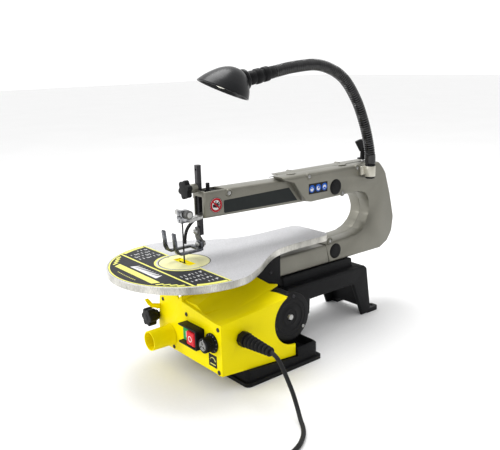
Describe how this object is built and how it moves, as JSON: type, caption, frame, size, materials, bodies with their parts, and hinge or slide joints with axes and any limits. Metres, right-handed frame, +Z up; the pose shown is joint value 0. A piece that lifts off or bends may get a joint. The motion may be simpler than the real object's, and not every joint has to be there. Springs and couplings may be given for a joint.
{
  "type": "scroll saw",
  "caption": "Benchtop scroll saw: C-shaped frame with rocking arms and blade, tilting table, hold-down foot, motor cover with controls, dust port and gooseneck lamp.",
  "frame": {"origin": "middle of the saw's footprint on the floor, without the mains lead", "axes": "+Z up; +Y from the operator's side towards the back of the C-frame; +X towards the switch and motor side, the operator's right"},
  "size_m": [0.534, 0.6617, 0.4782],
  "materials": {
    "silver_paint": "grainy silver hammer paint",
    "black_paint": "satin black paint",
    "yellow_paint": "gloss yellow paint",
    "yellow_plastic": "moulded yellow plastic",
    "insert_plastic": "pale yellow moulded plastic",
    "table_metal": "ground casting, fine grain",
    "steel": "bright zinc and machined steel",
    "dark_steel": "blackened steel",
    "chrome": "bright plated wire",
    "black_plastic": "fine textured black plastic",
    "red_plastic": "red moulded plastic",
    "green_plastic": "green moulded plastic",
    "bulb": "opal white lamp glass",
    "rubber": "matt black flexible cover"
  },
  "bodies": {
    "frame": {"base": "black_paint", "housing_right": "silver_paint", "housing_left": "silver_paint", "lower_housing": "silver_paint", "front_arm": "silver_paint", "cap_upper_right": "black_plastic", "cap_upper_left": "black_plastic", "cap_lower_right": "black_plastic", "cap_lower_left": "black_plastic", "pivot_pin_upper": "steel", "pivot_pin_lower": "steel", "motor_can": "black_paint", "motor_end_cap": "black_plastic", "motor_cover": "yellow_paint", "dust_port": "yellow_plastic", "switch_hood": "black_plastic", "speed_dial": "black_plastic", "saddle": "black_paint", "lock_bracket": "black_paint", "tilt_pointer": "yellow_paint", "side_plate": "black_paint", "head_cap": "black_plastic", "blower_hose": "rubber", "hose_clip": "black_plastic", "lamp_bracket": "steel", "strain_relief": "rubber", "cord": "rubber", "cord_coil": "rubber", "plug": "rubber"},
    "upper_rocker": {"upper_arm": "steel"},
    "lower_rocker": {"lower_arm": "steel", "connecting_rod": "dark_steel"},
    "blade_carriage": {"blade": "dark_steel", "upper_clamp": "steel", "lower_clamp": "steel"},
    "upper_screw": {"upper_clamp_screw": "dark_steel"},
    "lower_screw": {"lower_clamp_screw": "dark_steel"},
    "tension_link": {"tension_rod": "steel"},
    "tension_lever": {"tension_knob": "black_plastic"},
    "motor_shaft": {"rotor": "steel", "crank": "steel"},
    "tilting_table": {"table": "table_metal", "table_insert": "insert_plastic", "table_quadrant": "black_paint", "table_shoe": "black_paint"},
    "tilt_lock": {"lock_knob": "black_plastic"},
    "hold_down": {"hold_rod": "dark_steel", "foot_bracket": "dark_steel", "foot_bolt": "steel", "fork_bolt": "steel"},
    "fork": {"foot_fork": "chrome"},
    "hold_lock": {"hold_knob": "black_plastic"},
    "speed_control": {"speed_knob": "black_plastic"},
    "start_button": {"on_button": "green_plastic"},
    "stop_button": {"off_button": "red_plastic"},
    "lamp": {"lamp_stud": "black_plastic", "lamp_neck": "black_plastic", "lamp_collar": "black_plastic"},
    "lamp_head": {"lamp_shade": "black_plastic", "lamp_bulb": "bulb"}
  },
  "joints": [
    {"name": "arm_rock", "type": "hinge", "parent": "frame", "child": "upper_rocker", "pos_m": [0, 0.13315, 0.254], "axis": [1, 0, 0], "range_deg": [-1.47, 1.47]},
    {"name": "lower_arm_rock", "type": "hinge", "parent": "frame", "child": "lower_rocker", "pos_m": [0, 0.13315, 0.1344], "axis": [1, 0, 0], "range_deg": [-1.48, 1.48]},
    {"name": "blade_stroke", "type": "slide", "parent": "frame", "child": "blade_carriage", "axis": [0, 0, 1], "range_m": [-0.0081, 0.0081]},
    {"name": "upper_clamp_turn", "type": "hinge", "parent": "blade_carriage", "child": "upper_screw", "pos_m": [0, -0.17335, 0.252], "axis": [1, 0, 0], "continuous": true},
    {"name": "lower_clamp_turn", "type": "hinge", "parent": "blade_carriage", "child": "lower_screw", "pos_m": [0, -0.17425, 0.111], "axis": [1, 0, 0], "continuous": true},
    {"name": "link_bob", "type": "slide", "parent": "frame", "child": "tension_link", "axis": [0, 0, 1], "range_m": [-0.0027, 0.0027]},
    {"name": "tension_turn", "type": "hinge", "parent": "tension_link", "child": "tension_lever", "pos_m": [0, 0.23615, 0.3], "axis": [0, 0, 1], "continuous": true},
    {"name": "motor_spin", "type": "hinge", "parent": "frame", "child": "motor_shaft", "pos_m": [0.06, -0.05235, 0.0798], "axis": [1, 0, 0], "continuous": true},
    {"name": "table_tilt", "type": "hinge", "parent": "frame", "child": "tilting_table", "pos_m": [0, -0.17785, 0.182], "axis": [0, -1, 0], "range_deg": [0, 45]},
    {"name": "tilt_lock_turn", "type": "hinge", "parent": "frame", "child": "tilt_lock", "pos_m": [-0.05801, -0.20785, 0.07604], "axis": [0, 1, 0], "continuous": true},
    {"name": "hold_down_height", "type": "slide", "parent": "frame", "child": "hold_down", "axis": [0, 0, 1], "range_m": [-0.0155, 0.0125]},
    {"name": "fork_tilt", "type": "hinge", "parent": "hold_down", "child": "fork", "pos_m": [0, -0.14985, 0.1985], "axis": [0, -1, 0], "range_deg": [0, 45]},
    {"name": "hold_lock_turn", "type": "hinge", "parent": "frame", "child": "hold_lock", "pos_m": [-0.0105, -0.16185, 0.287], "axis": [0, 1, 0], "continuous": true},
    {"name": "speed_turn", "type": "hinge", "parent": "frame", "child": "speed_control", "pos_m": [0.095, -0.20785, 0.076], "axis": [0, 1, 0], "range_deg": [0, 270]},
    {"name": "start_press", "type": "slide", "parent": "frame", "child": "start_button", "axis": [0, 1, 0], "range_m": [0, 0.002], "stiffness_N_per_m": 600},
    {"name": "stop_press", "type": "slide", "parent": "frame", "child": "stop_button", "axis": [0, 1, 0], "range_m": [0, 0.002], "stiffness_N_per_m": 600},
    {"name": "lamp_turn", "type": "hinge", "parent": "frame", "child": "lamp", "pos_m": [0.0386, 0.21315, 0.288], "axis": [0, 0, 1], "range_deg": [-60, 60]},
    {"name": "lamp_nod", "type": "hinge", "parent": "lamp", "child": "lamp_head", "pos_m": [0.0386, -0.06385, 0.4532], "axis": [1, 0, 0], "range_deg": [-25, 40]}
  ],
  "couplings": [
    {"joint": "lower_arm_rock", "follows": "arm_rock", "ratio": 1},
    {"joint": "blade_stroke", "follows": "arm_rock", "m_per_rad": -0.311},
    {"joint": "link_bob", "follows": "arm_rock", "m_per_rad": 0.103}
  ]
}
